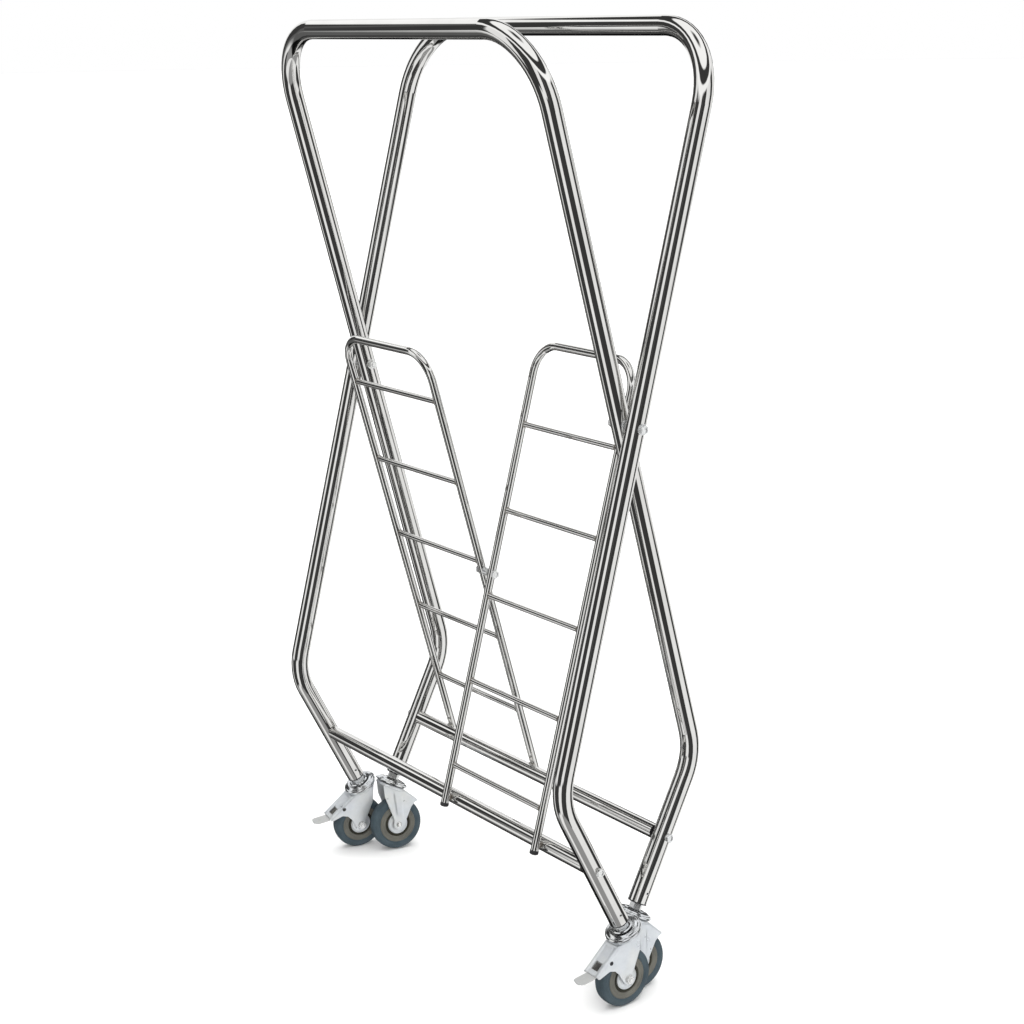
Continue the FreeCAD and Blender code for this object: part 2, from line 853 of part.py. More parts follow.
def tyre(name):
    body = new_body(name)
    profile = sketch_on(body, name + "_profile", "XZ_Plane")
    half = S["tyre_width"] / 2
    outline(
        profile,
        [
            (-half + 1, WHEEL - 24),
            (half - 1, WHEEL - 24),
            (half, WHEEL - 16),
            (half, WHEEL - 9),
            (half - 2.5, WHEEL - 4),
            (half - 7, WHEEL - 0.8),
            (fixed(0), WHEEL),
            (-half + 7, WHEEL - 0.8),
            (-half + 2.5, WHEEL - 4),
            (-half, WHEEL - 9),
            (-half, WHEEL - 16),
        ],
    )
    revolve(body, profile, "X_Axis")
    return body


def wheel_core(name):
    """The moulded centre: rim, web and bored hub."""
    body = new_body(name)
    profile = sketch_on(body, name + "_profile", "XZ_Plane")
    half = S["tyre_width"] / 2
    bore = S["bolt_dia"] / 2 + S["fit"]
    outline(
        profile,
        [
            (-half - 2.6, bore),
            (half + 2.6, bore),
            (half + 2.6, fixed(8)),
            (half - 3, fixed(9)),
            (half - 3, WHEEL - 28),
            (half - 1, WHEEL - 27),
            (half - 1, WHEEL - 24),
            (-half + 1, WHEEL - 24),
            (-half + 1, WHEEL - 27),
            (-half + 3, WHEEL - 28),
            (-half + 3, fixed(9)),
            (-half - 2.6, fixed(8)),
        ],
    )
    revolve(body, profile, "X_Axis")
    return body


def wheel_disc(name, mark):
    """A pressed steel cover disc on one side of the wheel."""
    inner = S["tyre_width"] / 2 - 1
    start = inner if mark > 0 else -(inner + 1)
    return pipe_x(name, fixed(20), fixed(9.2), start, start + 1, 0, 0)


def axle(name):
    """The axle bolt, its nut on one side of the fork and a low round head on the other."""
    face = FORK_X + 0.1
    shank = bar_x(name + "_shank", S["bolt_dia"] / 2, -face, face + 6, 0, 0)
    head = bar_x(name + "_head", fixed(5.5), -face - 1.5, -face, 0, 0)
    nut = hexagon(name + "_nut", S["bolt_hex"], 4.5, (number(face), 0, 0), ALONG_X)
    return fuse(name, shank, head, nut)


def caster(name, side, half_width, swivel):
    """One swivel caster; the front ones are braked."""
    frame = caster_frame(side, half_width, swivel)
    hub = frame.multiply(
        Placement(Vector(0, -number(S["trail"]), -number(S["axle_drop"])), Rotation())
    )
    braked = side > 0
    at_head = {"fork": fork(name + "_fork", braked), "balls": ball_race(name + "_balls")}
    if braked:
        at_head["pedal"] = pedal(name + "_pedal")
        at_head["shoe"] = shoe(name + "_shoe")
        at_head["brake_pin"] = brake_pin(name + "_brake_pin")
    discs = [wheel_disc("%s_disc_%d" % (name, i), i) for i in (-1, 1)]
    at_hub = {
        "axle": axle(name + "_axle"),
        "tyre": tyre(name + "_tyre"),
        "wheel": wheel_core(name + "_wheel"),
        "discs": group(name + "_discs", *discs),
    }
    placed(frame, *at_head.values())
    placed(hub, *at_hub.values())
    for part, obj in list(at_head.items()) + list(at_hub.items()):
        node(obj, "%s_%s" % (name, part))


def leg_ends(name, side, half_width):
    """The inserts, stems and swivel heads fixed in both feet of a hoop."""
    makers = {"inserts": leg_insert, "stems": stem, "swivel_heads": swivel_head}
    for part, make in makers.items():
        pair = []
        for mark, tag in ((-1, "left"), (1, "right")):
            obj = make("%s_%s_%s" % (name, part, tag))
            placed(caster_frame(side, half_width * mark, 0.0), obj)
            pair.append(obj)
        label = "%s_%s" % (name, part)
        node(group(label, *pair), label)


# ---------------------------------------------------------------- the cart


def build():
    hoop("outer_hoop", 1, OUTER_X)
    hoop("inner_hoop", -1, INNER_X)
    hoop_pivots()
    half_split = S["rack_split"] / 2
    rear_right = S["rack_shift"] - half_split
    front_left = S["rack_shift"] + half_split
    rack(
        "front_rack", 1, front_left, front_left + S["rack_width"], S["front_first_rung"], OUTER_X
    )
    rack(
        "rear_rack", -1, rear_right - S["rack_width"], rear_right, S["rear_first_rung"], INNER_X
    )
    leg_ends("front", 1, OUTER_X)
    leg_ends("rear", -1, INNER_X)
    for name, swivel in SWIVELS.items():
        side = 1 if name.startswith("front") else -1
        mark = 1 if name.endswith("right") else -1
        half_width = (OUTER_X if side > 0 else INNER_X) * mark
        caster(name, side, half_width, swivel)


def check():
    """Stop on any broken object before anything is written."""
    for obj in doc.Objects:
        if "Invalid" in obj.State or "Error" in obj.State:
            raise RuntimeError("%s is %s" % (obj.Label, obj.State))
    for obj in nodes:
        shape = obj.Shape
        if shape.isNull() or not shape.isValid() or not shape.Solids:
            raise RuntimeError("%s has no sound shape" % obj.Label)


build()
doc.recompute()
check()
os.makedirs("parts", exist_ok=True)
for piece in nodes:
    piece.Shape.exportStep("parts/%s.step" % piece.Label)
print("%d pieces" % len(nodes))
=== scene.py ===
import json
import math
import random

import bmesh
import bpy
from mathutils import Matrix, Vector

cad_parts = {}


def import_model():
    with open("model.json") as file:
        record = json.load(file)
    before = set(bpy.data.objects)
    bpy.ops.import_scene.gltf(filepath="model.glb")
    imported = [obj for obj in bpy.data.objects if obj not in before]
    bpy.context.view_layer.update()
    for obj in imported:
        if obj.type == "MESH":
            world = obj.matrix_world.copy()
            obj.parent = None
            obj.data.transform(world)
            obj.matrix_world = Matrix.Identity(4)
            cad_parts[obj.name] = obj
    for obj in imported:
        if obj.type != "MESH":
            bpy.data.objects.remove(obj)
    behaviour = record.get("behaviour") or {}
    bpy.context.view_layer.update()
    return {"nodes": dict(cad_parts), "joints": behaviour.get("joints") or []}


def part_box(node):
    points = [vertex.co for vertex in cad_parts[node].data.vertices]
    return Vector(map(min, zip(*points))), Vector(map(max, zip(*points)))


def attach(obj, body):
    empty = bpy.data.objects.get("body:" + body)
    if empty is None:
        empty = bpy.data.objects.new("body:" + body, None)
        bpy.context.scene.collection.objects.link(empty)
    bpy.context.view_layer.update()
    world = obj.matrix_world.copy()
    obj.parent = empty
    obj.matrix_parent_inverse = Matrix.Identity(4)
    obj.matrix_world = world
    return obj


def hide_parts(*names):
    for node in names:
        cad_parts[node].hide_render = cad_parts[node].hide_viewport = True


# Looks of the folding luggage cart. The tubes, racks and small inner pieces are the CAD
# nodes with better materials. Casters, brakes, plugs, bolts and welds are rebuilt here.
# Caster pieces are drawn in millimetres in a caster's own frame: origin at the end of the
# leg, Z up the stem, X along the axle, the wheel trailing towards -Y.

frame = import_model()
nodes = frame["nodes"]
joints = {joint["name"]: joint for joint in frame["joints"]}

MM = 0.001
CASTERS = ("front_left", "front_right", "rear_left", "rear_right")

# Casters and fasteners, in millimetres.
FORK_HALF = 18.5  # middle of the fork to the outside of a cheek
SHEET = 2.5
TRAIL = 39.0
DROP = 92.0
BRAKE = (-TRAIL - 15.0, -DROP + 51.8)  # the lever's rivet, as (y, z)
ROOF_Z = -27.0
SHEET_BEND = 4.0
WINDOW = (-78.5, -63.5)  # the hole in a braked fork's roof, back and front
BOLT_R = 4.0
HEX_ACROSS = 13.0
HEAD_HEIGHT = 5.2
NUT_HEIGHT = 6.6

# The frame, in metres.
TUBE_R = 0.016
CROSSBAR_R = 0.0125
RAIL_R = 0.007
RUNG_R = 0.005
RUNGS = 5
OUTER_LEG_X = 0.4
INNER_LEG_X = OUTER_LEG_X - 0.035
LEG_HOLE_UP = 0.0185  # end of a leg up to its cross hole

# ---------------------------------------------------------------- frames


def axis_frame(origin, x_axis, z_axis):
    """A frame with Z along z_axis and X as near as it can be to x_axis."""
    z = Vector(z_axis).normalized()
    y = z.cross(Vector(x_axis)).normalized()
    x = y.cross(z)
    matrix = Matrix((x, y, z)).transposed().to_4x4()
    matrix.translation = Vector(origin)
    return matrix


def caster_frame(name):
    turn = joints[name + "_swivel_turn"]
    spin = joints[name + "_wheel_spin"]
    return axis_frame(turn["pos_m"], spin["axis"], turn["axis"])


def hub_frame(name):
    """The wheel's frame, with Z along the axle."""
    spin = joints[name + "_wheel_spin"]
    return axis_frame(spin["pos_m"], joints[name + "_swivel_turn"]["axis"], spin["axis"])


def is_braked(caster_name):
    return caster_name.startswith("front")


def hoop_of(caster_name):
    return "outer_hoop" if is_braked(caster_name) else "inner_hoop"


# ---------------------------------------------------------------- mesh helpers


def add_mesh(name, verts, faces, place=Matrix.Identity(4), scale=MM):
    """A smooth mesh object from points in millimetres (or at another scale), put in place."""
    mesh = bpy.data.meshes.new(name)
    mesh.from_pydata([Vector(v) * scale for v in verts], [], faces)
    mesh.transform(place)
    mesh.polygons.foreach_set("use_smooth", [True] * len(mesh.polygons))
    mesh.validate()
    obj = bpy.data.objects.new(name, mesh)
    bpy.context.scene.collection.objects.link(obj)
    return obj


def face_outwards(obj):
    work = bmesh.new()
    work.from_mesh(obj.data)
    bmesh.ops.remove_doubles(work, verts=work.verts, dist=1e-6)
    bmesh.ops.recalc_face_normals(work, faces=work.faces)
    work.to_mesh(obj.data)
    work.free()
    return obj


def bevel(obj, width, segments=3):
    modifier = obj.modifiers.new("soft_edges", "BEVEL")
    modifier.width = width * MM
    modifier.segments = segments
    modifier.limit_method = "ANGLE"
    modifier.angle_limit = math.radians(35)
    modifier.harden_normals = True
    return obj


def thicken(obj, thickness, inside, place):
    """Give a sheet its thickness towards a point on its inner side."""
    middle = place @ (Vector(inside) * MM)
    lean = sum(f.normal.dot(f.center - middle) * f.area for f in obj.data.polygons)
    if lean < 0:
        obj.data.flip_normals()
    modifier = obj.modifiers.new("sheet", "SOLIDIFY")
    modifier.thickness = thickness * MM
    modifier.offset = -1
    return obj


def crease_by_angle(obj):
    obj.data.set_sharp_from_angle(angle=math.radians(40))
    return obj


def rounded(points, radius, closed=True, steps=5):
    """The outline with each corner turned into an arc, as far as its edges leave room."""
    spots = [Vector(p) for p in points]
    count = len(spots)
    result = []
    for i, corner in enumerate(spots):
        if not closed and i in (0, count - 1):
            result.append(tuple(corner))
            continue
        back = spots[i - 1] - corner
        ahead = spots[(i + 1) % count] - corner
        half = back.angle(ahead) / 2
        reach = min(radius / math.tan(half), back.length * 0.45, ahead.length * 0.45)
        real = reach * math.tan(half)
        toward = (back.normalized() + ahead.normalized()).normalized()
        centre = corner + toward * (real / math.sin(half))
        start = corner + back.normalized() * reach - centre
        end = corner + ahead.normalized() * reach - centre
        sweep = start.angle_signed(end)
        for k in range(steps + 1):
            turn = Matrix.Rotation(-sweep * k / steps, 2)
            result.append(tuple(centre + turn @ start))
    return result


def lathe(name, profile, place, closed=True, segments=72):
    """Spin a profile of (radius, height) points about the frame's Z."""
    verts = []
    for step in range(segments):
        angle = 2 * math.pi * step / segments
        c, s = math.cos(angle), math.sin(angle)
        verts += [(r * c, r * s, h) for r, h in profile]
    count = len(profile)
    last = count if closed else count - 1
    faces = []
    for step in range(segments):
        a, b = step * count, (step + 1) % segments * count
        for i in range(last):
            j = (i + 1) % count
            faces.append((a + i, b + i, b + j, a + j))
    return crease_by_angle(face_outwards(add_mesh(name, verts, faces, place)))


def extruded(name, outline, half, place, soft):
    """A plate of one (y, z) outline, centred on X, with softened edges."""
    count = len(outline)
    verts = [(side * half, y, z) for side in (-1, 1) for y, z in outline]
    faces = [tuple(range(count))[::-1], tuple(range(count, 2 * count))]
    for i in range(count):
        j = (i + 1) % count
        faces.append((i, j, count + j, count + i))
    obj = face_outwards(add_mesh(name, verts, faces, place))
    return bevel(crease_by_angle(obj), soft)


def hex_prism(name, low, high, place):
    """A bolt head or nut: a hexagon prism along the frame's Z, with softened edges."""
    radius = HEX_ACROSS / math.sqrt(3)
    verts = []
    for height in (low, high):
        for k in range(6):
            angle = math.pi / 3 * k
            verts.append((radius * math.cos(angle), radius * math.sin(angle), height))
    faces = [(5, 4, 3, 2, 1, 0), (6, 7, 8, 9, 10, 11)]
    faces += [(i, (i + 1) % 6, 6 + (i + 1) % 6, 6 + i) for i in range(6)]
    obj = add_mesh(name, verts, faces, place)
    return bevel(crease_by_angle(obj), 0.6, segments=2)


def grid(name, rows, place, keep=lambda a, b: True):
    """A sheet through rows of points; keep(row, column) says which cells stay."""
    width = len(rows[0])
    verts = [point for row in rows for point in row]
    faces = []
    for a in range(len(rows) - 1):
        for b in range(width - 1):
            if keep(a, b):
                i = a * width + b
                faces.append((i, i + 1, i + width + 1, i + width))
    return add_mesh(name, verts, faces, place)


def joined(name, *objects):
    """One object out of several, with their modifiers applied."""
    graph = bpy.context.evaluated_depsgraph_get()
    work = bmesh.new()
    materials = []
    for obj in objects:
        baked = bpy.data.meshes.new_from_object(obj.evaluated_get(graph))
        offset = len(materials)
        materials += list(baked.materials)
        for polygon in baked.polygons:
            polygon.material_index += offset
        work.from_mesh(baked)
    mesh = bpy.data.meshes.new(name)
    work.to_mesh(mesh)
    work.free()
    for material in materials:
        mesh.materials.append(material)
    for obj in objects:
        bpy.data.objects.remove(obj)
    result = bpy.data.objects.new(name, mesh)
    bpy.context.scene.collection.objects.link(result)
    return result


def piece(obj, body, material, slot, *replaced):
    """Give a finished piece its material and its body, and hide the nodes it stands for. The slot is
    not used.
    """
    if not obj.data.materials:
        obj.data.materials.append(material)
    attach(obj, body)
    if replaced:
        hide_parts(*replaced)
    return obj


# ---------------------------------------------------------------- materials


def add_node(tree, kind, **values):
    """A node with its properties set, or its inputs where it has no such property."""
    made = tree.nodes.new(kind)
    for key, value in values.items():
        if hasattr(made, key):
            setattr(made, key, value)
        else:
            made.inputs[key].default_value = value
    return made


def map_range(tree, source, low, high, start, end, **values):
    """Map a socket's values from start..end on to low..high."""
    mapped = add_node(tree, "ShaderNodeMapRange", **values)
    for key, value in (("From Min", start), ("From Max", end), ("To Min", low), ("To Max", high)):
        mapped.inputs[key].default_value = value
    tree.links.new(source, mapped.inputs["Value"])
    return mapped.outputs["Result"]


class Look:
    """A principled material with short calls for its nodes."""

    def __init__(self, name):
        self.material = bpy.data.materials.new(name)
        self.material.use_nodes = True
        self.tree = self.material.node_tree
        self.shader = self.tree.nodes["Principled BSDF"]
        self.place = self.node("ShaderNodeTexCoord").outputs["Object"]

    def node(self, kind, **values):
        return add_node(self.tree, kind, **values)

    def link(self, source, target):
        self.tree.links.new(source, target)

    def noise(self, scale, detail=4.0, stretch=(1, 1, 1), rough=0.6):
        mapping = self.node("ShaderNodeMapping", Scale=stretch)
        self.link(self.place, mapping.inputs["Vector"])
        noise = self.node("ShaderNodeTexNoise", Scale=scale, Detail=detail, Roughness=rough)
        self.link(mapping.outputs["Vector"], noise.inputs["Vector"])
        return noise.outputs["Fac"]

    def spread(self, source, low, high, start=0.3, end=0.7):
        """Map a noise on to a range of values."""
        return map_range(self.tree, source, low, high, start, end)

    def mix(self, factor, first, second):
        """Blend two colours or sockets by a factor socket."""
        mixed = self.node("ShaderNodeMix", data_type="RGBA")
        self.link(factor, mixed.inputs[0])
        for index, value in ((6, first), (7, second)):
            if isinstance(value, tuple):
                mixed.inputs[index].default_value = (*value, 1)
            else:
                self.link(value, mixed.inputs[index])
        return mixed.outputs[2]

    def combine(self, operation, first, second):
        result = self.node("ShaderNodeMath", operation=operation)
        for index, value in enumerate((first, second)):
            if isinstance(value, (int, float)):
                result.inputs[index].default_value = value
            else:
                self.link(value, result.inputs[index])
        return result.outputs[0]

    def color(self, source):
        self.link(source, self.shader.inputs["Base Color"])

    def roughness(self, source):
        self.link(source, self.shader.inputs["Roughness"])

    def bump(self, source, strength, distance):
        bump = self.node("ShaderNodeBump", Strength=strength, Distance=distance)
        self.link(source, bump.inputs["Height"])
        self.link(bump.outputs["Normal"], self.shader.inputs["Normal"])

    def set(self, **values):
        for key, value in values.items():
            self.shader.inputs[key.replace("_", " ")].default_value = value


def polished_tube():
    """Polished stainless tube: smudges, and faint grinding lines upright and level."""
    look = Look("polished_tube")
    look.set(Metallic=1.0)
    upright = look.noise(1.0, 3, (420, 420, 7))
    level = look.noise(1.0, 3, (7, 420, 420))
    smudge = look.noise(9.0, 5)
    lines = look.combine("MULTIPLY", look.combine("ADD", upright, level), 0.5)
    look.color(look.mix(look.spread(smudge, 0, 1), (0.68, 0.675, 0.66), (0.78, 0.775, 0.76)))
    rough = look.combine("ADD", look.spread(lines, 0.018, 0.042), look.spread(smudge, 0.0, 0.02))
    look.roughness(rough)
    look.bump(lines, 0.008, 0.0004)
    return look.material


def zinc(name, low, high, shine, metal, pitting):
    """Plated steel: a cloudy colour with straw tints, uneven shine and fine pits."""
    look = Look(name)
    look.set(Metallic=metal)
    cloud = look.noise(38.0, 5)
    tint = look.noise(16.0, 3)
    pits = look.noise(900.0, 2)
    base = look.mix(look.spread(cloud, 0, 1), low, high)
    look.color(look.mix(look.spread(tint, 0, 0.35, 0.45, 0.75), base, (0.78, 0.76, 0.66)))
    look.roughness(look.spread(cloud, shine, shine + 0.16))
    look.bump(look.combine("ADD", pits, look.combine("MULTIPLY", cloud, 0.6)), pitting, 0.0003)
    return look.material


def grey_paint():
    """Grey satin coat on the pedals, rubbed through in spots."""
    look = Look("pedal_grey")
    wear = look.noise(120.0, 8, rough=0.75)
    fine = look.noise(1400.0, 2)
    worn = look.spread(wear, 0, 1, 0.62, 0.70)
    look.color(look.mix(worn, (0.36, 0.365, 0.36), (0.25, 0.25, 0.245)))
    look.link(look.combine("MULTIPLY", worn, 0.6), look.shader.inputs["Metallic"])
    look.roughness(look.spread(wear, 0.38, 0.52))
    look.bump(fine, 0.15, 0.0002)
    return look.material


def rubber(name, dark, pale, rough):
    """Moulded rubber: fine grain, dusty patches and slow colour drift."""
    look = Look(name)
    drift = look.noise(30.0, 5)
    dust = look.noise(210.0, 6, rough=0.7)
    fine = look.noise(1100.0, 3)
    look.color(look.mix(look.spread(drift, 0, 1), dark, pale))
    mixed = look.combine("ADD", look.spread(drift, 0, 0.08), look.spread(dust, rough, rough + 0.12))
    look.roughness(mixed)
    look.bump(look.combine("ADD", fine, look.combine("MULTIPLY", dust, 0.8)), 0.22, 0.0004)
    look.set(Specular_IOR_Level=0.35)
    return look.material


def weld_tint_and_painted_shadow():
    """A weld bead: rippled, brown to straw; its dark tone is partly heat tint and partly painted
    contact shadow beside the rails on the crossbar.
    """
    look = Look("weld_bead")
    look.set(Metallic=1.0)
    heat = look.noise(260.0, 3)
    ripple = look.noise(1.0, 2, (300, 1300, 1300))
    look.color(look.mix(look.spread(heat, 0, 1), (0.20, 0.17, 0.15), (0.46, 0.43, 0.38)))
    look.roughness(look.spread(heat, 0.25, 0.5))
    look.bump(ripple, 0.4, 0.0006)
    return look.material


TUBE = polished_tube()
ZINC = zinc("caster_zinc", (0.57, 0.60, 0.63), (0.70, 0.73, 0.76), 0.26, 0.60, 0.06)
BOLT = zinc("bolt_zinc", (0.70, 0.71, 0.72), (0.84, 0.85, 0.85), 0.18, 0.85, 0.05)
DARK = zinc("spring_steel", (0.03, 0.03, 0.033), (0.07, 0.07, 0.075), 0.30, 0.8, 0.05)
RACE = zinc("race_chrome", (0.58, 0.60, 0.62), (0.74, 0.76, 0.78), 0.06, 1.0, 0.012)
PEDAL = grey_paint()
TREAD = rubber("tyre_grey", (0.030, 0.048, 0.060), (0.056, 0.080, 0.094), 0.42)
BAND = rubber("wheel_band", (0.085, 0.084, 0.072), (0.135, 0.132, 0.112), 0.45)
CORE = rubber("wheel_core", (0.012, 0.012, 0.008), (0.030, 0.029, 0.018), 0.40)
BLACK = rubber("black_rubber", (0.010, 0.010, 0.011), (0.026, 0.026, 0.028), 0.45)
# weld beads: dark tone partly heat tint, partly painted contact shadow
WELD = weld_tint_and_painted_shadow()

# ---------------------------------------------------------------- CAD nodes that stay


def dress_nodes():
    """Materials of the CAD nodes whose own shape is shown."""
    by_ending = (
        (("_hoop", "_rails", "_rungs", "_crossbar"), TUBE),
        (("_stems", "_washers", "_spacer"), BOLT),
        (("_balls",), RACE),
        (("_inserts", "_crossbar_ends"), BLACK),
    )
    for name, obj in nodes.items():
        for endings, material in by_ending:
            if name.endswith(endings):
                obj.data.materials.clear()
                obj.data.materials.append(material)


# ---------------------------------------------------------------- casters


def swivel_head(name):
    """The domed, stepped upper race, fixed to the leg."""
    profile = [
        (6.2, -12.2),
        (15.5, -12.2),
        (17.5, -13.6),
        (22.5, -13.8),
        (26.0, -15.2),
        (27.6, -17.0),
        (29.4, -17.4),
        (31.2, -19.2),
        (31.4, -21.9),
        (29.9, -21.9),
        (28.6, -19.6),
        (26.0, -18.3),
        (6.2, -18.3),
    ]
    obj = lathe(name + "_head", rounded(profile, 1.1, steps=3), caster_frame(name))
    side = name.split("_")[0]
    piece(obj, hoop_of(name), RACE, "caster_steel", side + "_swivel_heads")


def fork_low(braked):
    """The lower edge of a fork's side from front to back, as (y, z) points."""
    if braked:
        front = [(20.0, -28.5), (18.0, -32.0), (1.0, -62.0)]
        back = [(-51.0, -70.0), (-54.5, -58.5), (-63.0, -50.5), (-84.0, -48.0), (-87.0, -46.0)]
    else:
        front = [(21.0, -28.5), (20.0, -32.0), (10.0, -50.0)]
        back = [(-50.0, -72.0), (-50.2, -52.0), (-54.0, -41.0), (-57.0, -38.5)]
    boss = [(-28.0, -88.0), (-30.0, -98.0), (-34.0, -102.5), (-41.0, -104.0)]
    boss += [(-47.0, -101.0), (-49.9, -90.0)]
    return rounded(front + boss + back, 4.0, closed=False, steps=6)


def fork_top(y, braked):
    """Height of a fork's outer top surface at one distance along it: level, then sloping."""
    slope_start = -29.5
    slope = 15.0 / 57.5 if braked else 8.0 / 27.5
    return ROOF_Z - slope * max(slope_start - y, 0.0)


def level_at(points, y):
    """Height of an outline that runs from +Y to -Y, at one distance."""
    for (y0, z0), (y1, z1) in zip(points, points[1:]):
        if y1 <= y <= y0 and y0 - y1 > 1e-6:
            return z0 + (z1 - z0) * (y0 - y) / (y0 - y1)
    return points[-1][1]


def fork_stations(low):
    """Where the fork's sections lie along it: its outline's own points and even steps."""
    front, back = low[0][0], low[-1][0]
    steps = 60
    even = [front + (back - front) * k / steps for k in range(steps + 1)]
    marks = [point[0] for point in low] + even + list(WINDOW)
    marks = sorted(set(round(y, 3) for y in marks), reverse=True)
    return [y for y in marks if back <= y <= front]


def rib_height(y, z):
    """How far the stiffening rib stands out of a rear fork's side."""
    rib_top, rib_length, rib_rise, shoulder = -34.0, 44.0, 0.9, 1.6
    along = min(max((rib_top - z) / rib_length, 0.0), 1.0)
    middle = -12.0 - 24.0 * along
    half = 8.5 - 2.5 * along
    fade = min(along * 6, (1 - along) * 6, 1.0)
    edge = min(max((half + shoulder - abs(y - middle)) / shoulder, 0.0), 1.0)
    return rib_rise * fade * edge * edge * (3 - 2 * edge)


def fork_sheet(name, braked):
    """The pressed channel: two sides, rounded bends and a roof with a sunk middle."""
    low = fork_low(braked)
    stations = fork_stations(low)
    side_rows, bend_rows = 22, 6
    roof = (-12.6, -11.6, -8.0, -4.0, 0.0, 4.0, 8.0, 11.6, 12.6)
    sunk_half, sunk_start, sunk_run = 12.0, -32.0, 3.0
    depth = 0.9 if braked else 0.6
    rows = []
    for y in stations:
        top = fork_top(y, braked)
        bottom = min(level_at(low, y), top - 2.0)
        curl = min(SHEET_BEND, (top - bottom) * 0.8)
        left = []
        for k in range(side_rows):
            z = bottom + (top - curl - bottom) * k / side_rows
            out = 0.0 if braked else rib_height(y, z)
            left.append((-FORK_HALF - out, y, z))
        for k in range(bend_rows):
            a = math.pi / 2 * k / (bend_rows - 1)
            x = -FORK_HALF + SHEET_BEND * (1 - math.cos(a))
            left.append((x, y, top - curl + curl * math.sin(a)))
        sunk = depth * min(max((sunk_start - y) / sunk_run, 0.0), 1.0)
        middle = [(x, y, top - (sunk if abs(x) < sunk_half else 0.0)) for x in roof]
        right = [(-x, y, z) for x, y, z in reversed(left)]
        rows.append(left + middle + right)
    first_roof = side_rows + bend_rows
    window_columns = range(first_roof + 2, first_roof + 6)

    def keep(row, column):
        middle = (stations[row] + stations[row + 1]) / 2
        in_window = WINDOW[0] < middle < WINDOW[1] and column in window_columns
        return not (braked and in_window)

    place = caster_frame(name)
    return thicken(grid(name + "_sheet", rows, place, keep), SHEET, (0, -30, -60), place)


def fork(name):
    """The fork's channel with the lower race's cup under its roof."""
    profile = [
        (12.0, -27.2),
        (21.5, -27.2),
        (24.2, -23.6),
        (26.8, -23.6),
        (28.4, -25.2),
        (28.4, -27.8),
        (25.5, -30.6),
        (17.0, -31.6),
        (12.0, -31.6),
    ]
    sheet = fork_sheet(name, is_braked(name))
    cup = lathe(name + "_cup", rounded(profile, 1.0, steps=3), caster_frame(name))
    obj = joined(name + "_fork_shell", sheet, cup)
    piece(obj, name + "_swivel", ZINC, "caster_steel", name + "_fork")


def both_sides(points):
    """A closed profile out of the (radius, height) points of its upper half."""
    return points + [(r, -h) for r, h in reversed(points)]


def wheel(name):
    """Tread, sidewall band, dark centre and cover discs, spun about the axle."""
    place = hub_frame(name)
    body = name + "_wheel"
    tread = both_sides([(35.6, 11.6), (37.2, 12.4), (38.4, 12.1), (39.4, 12.8), (43.0, 13.0),
                        (47.0, 11.8), (49.2, 8.6), (49.9, 4.0)])
    obj = lathe(name + "_tread", rounded(tread, 1.2, steps=3), place, segments=128)
    piece(obj, body, TREAD, "tyre_grey", name + "_tyre")
    band = both_sides([(24.8, 10.6), (25.4, 12.2), (28.2, 12.6), (29.4, 11.9), (31.6, 11.9),
                       (32.6, 12.4), (35.0, 12.5), (36.0, 11.4)])
    obj = lathe(name + "_band", rounded(band, 0.5, steps=2), place, segments=96)
    piece(obj, body, BAND, "wheel_core", name + "_tyre")
    core = both_sides([(4.2, 15.5), (7.4, 15.5), (8.4, 14.6), (9.0, 9.4), (20.4, 9.2), (21.0, 11.6),
                       (22.6, 12.2), (23.8, 10.9), (25.2, 10.6)])
    obj = lathe(name + "_core", rounded(core, 0.6, steps=2), place)
    piece(obj, body, CORE, "wheel_core", name + "_wheel")
    disc = [(8.8, 9.0), (8.8, 12.9), (12.0, 12.9), (13.0, 12.2), (17.0, 12.2), (18.0, 12.9),
            (19.2, 12.7), (19.8, 11.8), (19.8, 9.0)]
    for tag, sign in (("a", 1), ("b", -1)):
        profile = rounded([(r, h * sign) for r, h in disc], 0.5, steps=2)
        obj = lathe("%s_disc_%s" % (name, tag), profile, place)
        piece(obj, body, ZINC, "caster_steel", name + "_discs")


def axle(name):
    """The axle: a nut and washer on one side and a low round head on the other."""
    place = hub_frame(name)
    face = FORK_HALF + 0.1
    washer_top = face + 1.0
    end = face + 6.0
    shank = [(0.0, -face), (BOLT_R, -face), (BOLT_R, end - 0.6), (BOLT_R - 0.6, end), (0.0, end)]
    head = [(0.0, -face - 1.5), (2.6, -face - 1.4), (4.4, -face - 1.05), (5.5, -face - 0.3),
            (5.4, -face)]
    washer = [(4.1, face - 0.1), (8.0, face - 0.1), (8.0, washer_top), (4.1, washer_top)]
    obj = joined(
        name + "_axle_bolt",
        lathe(name + "_axle_shank", rounded(shank, 0.3, closed=False), place, closed=False,
              segments=32),
        lathe(name + "_axle_head", head, place, closed=False, segments=40),
        lathe(name + "_axle_washer", rounded(washer, 0.3), place, segments=40),
        hex_prism(name + "_axle_nut", washer_top, face + 4.9, place),
    )
    piece(obj, name + "_swivel", BOLT, "bolt_zinc", name + "_axle")


def brake_frame(name):
    """The brake lever's frame, with Z along its rivet."""
    spot = Matrix.Translation(Vector((0, *BRAKE)) * MM)
    return caster_frame(name) @ spot @ Matrix.Rotation(math.pi / 2, 4, "Y")


def brake_pin(name):
    """The brake's rivet: a shank with a domed head outside each cheek."""
    out = FORK_HALF
    profile = both_sides([(0.0, out + 0.5), (1.1, out + 0.5), (1.4, out + 1.15), (2.6, out + 1.1),
                          (3.3, out + 0.6), (3.6, out - 0.1), (1.9, out - 0.1)])
    obj = lathe(name + "_brake_rivet", profile, brake_frame(name), closed=False, segments=32)
    piece(obj, name + "_swivel", DARK, "bolt_zinc", name + "_brake_pin")


